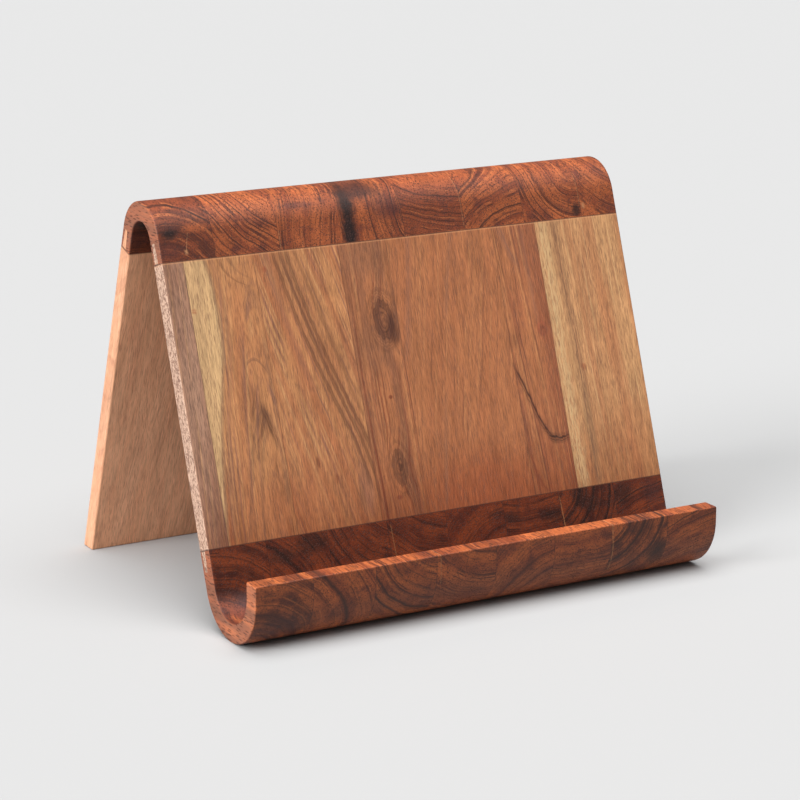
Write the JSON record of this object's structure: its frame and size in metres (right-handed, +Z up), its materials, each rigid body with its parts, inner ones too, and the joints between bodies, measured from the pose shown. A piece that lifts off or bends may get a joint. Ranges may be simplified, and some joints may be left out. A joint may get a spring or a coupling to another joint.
{
  "type": "tablet stand",
  "caption": "Bent-board wooden tablet or cookbook stand: leaning front panel, round crown, rear leg and a J-shaped tray with an upright lip.",
  "frame": {"origin": "middle of the footprint, on the surface that the stand rests on", "axes": "+X to the right along the width, -Y towards the user who faces the tablet, +Z up"},
  "size_m": [0.305, 0.2324, 0.2285],
  "materials": {
    "dark_acacia_block": "satin",
    "pale_acacia_stave": "satin",
    "tan_acacia_stave": "satin"
  },
  "bodies": {
    "root": {"tray_block_1": "dark_acacia_block", "tray_block_2": "dark_acacia_block", "tray_block_3": "dark_acacia_block", "tray_block_4": "dark_acacia_block", "tray_block_5": "dark_acacia_block", "tray_block_6": "dark_acacia_block", "tray_block_7": "dark_acacia_block", "tray_block_8": "dark_acacia_block", "crown_block_1": "dark_acacia_block", "crown_block_2": "dark_acacia_block", "crown_block_3": "dark_acacia_block", "crown_block_4": "dark_acacia_block", "crown_block_5": "dark_acacia_block", "crown_block_6": "dark_acacia_block", "crown_block_7": "dark_acacia_block", "crown_block_8": "dark_acacia_block", "front_stave_1": "tan_acacia_stave", "front_stave_2": "pale_acacia_stave", "front_stave_3": "tan_acacia_stave", "front_stave_4": "tan_acacia_stave", "front_stave_5": "tan_acacia_stave", "front_stave_6": "tan_acacia_stave", "front_stave_7": "pale_acacia_stave", "rear_stave_1": "tan_acacia_stave", "rear_stave_2": "tan_acacia_stave", "rear_stave_3": "tan_acacia_stave", "rear_stave_4": "tan_acacia_stave", "rear_stave_5": "tan_acacia_stave", "rear_stave_6": "tan_acacia_stave"}
  },
  "joints": []
}
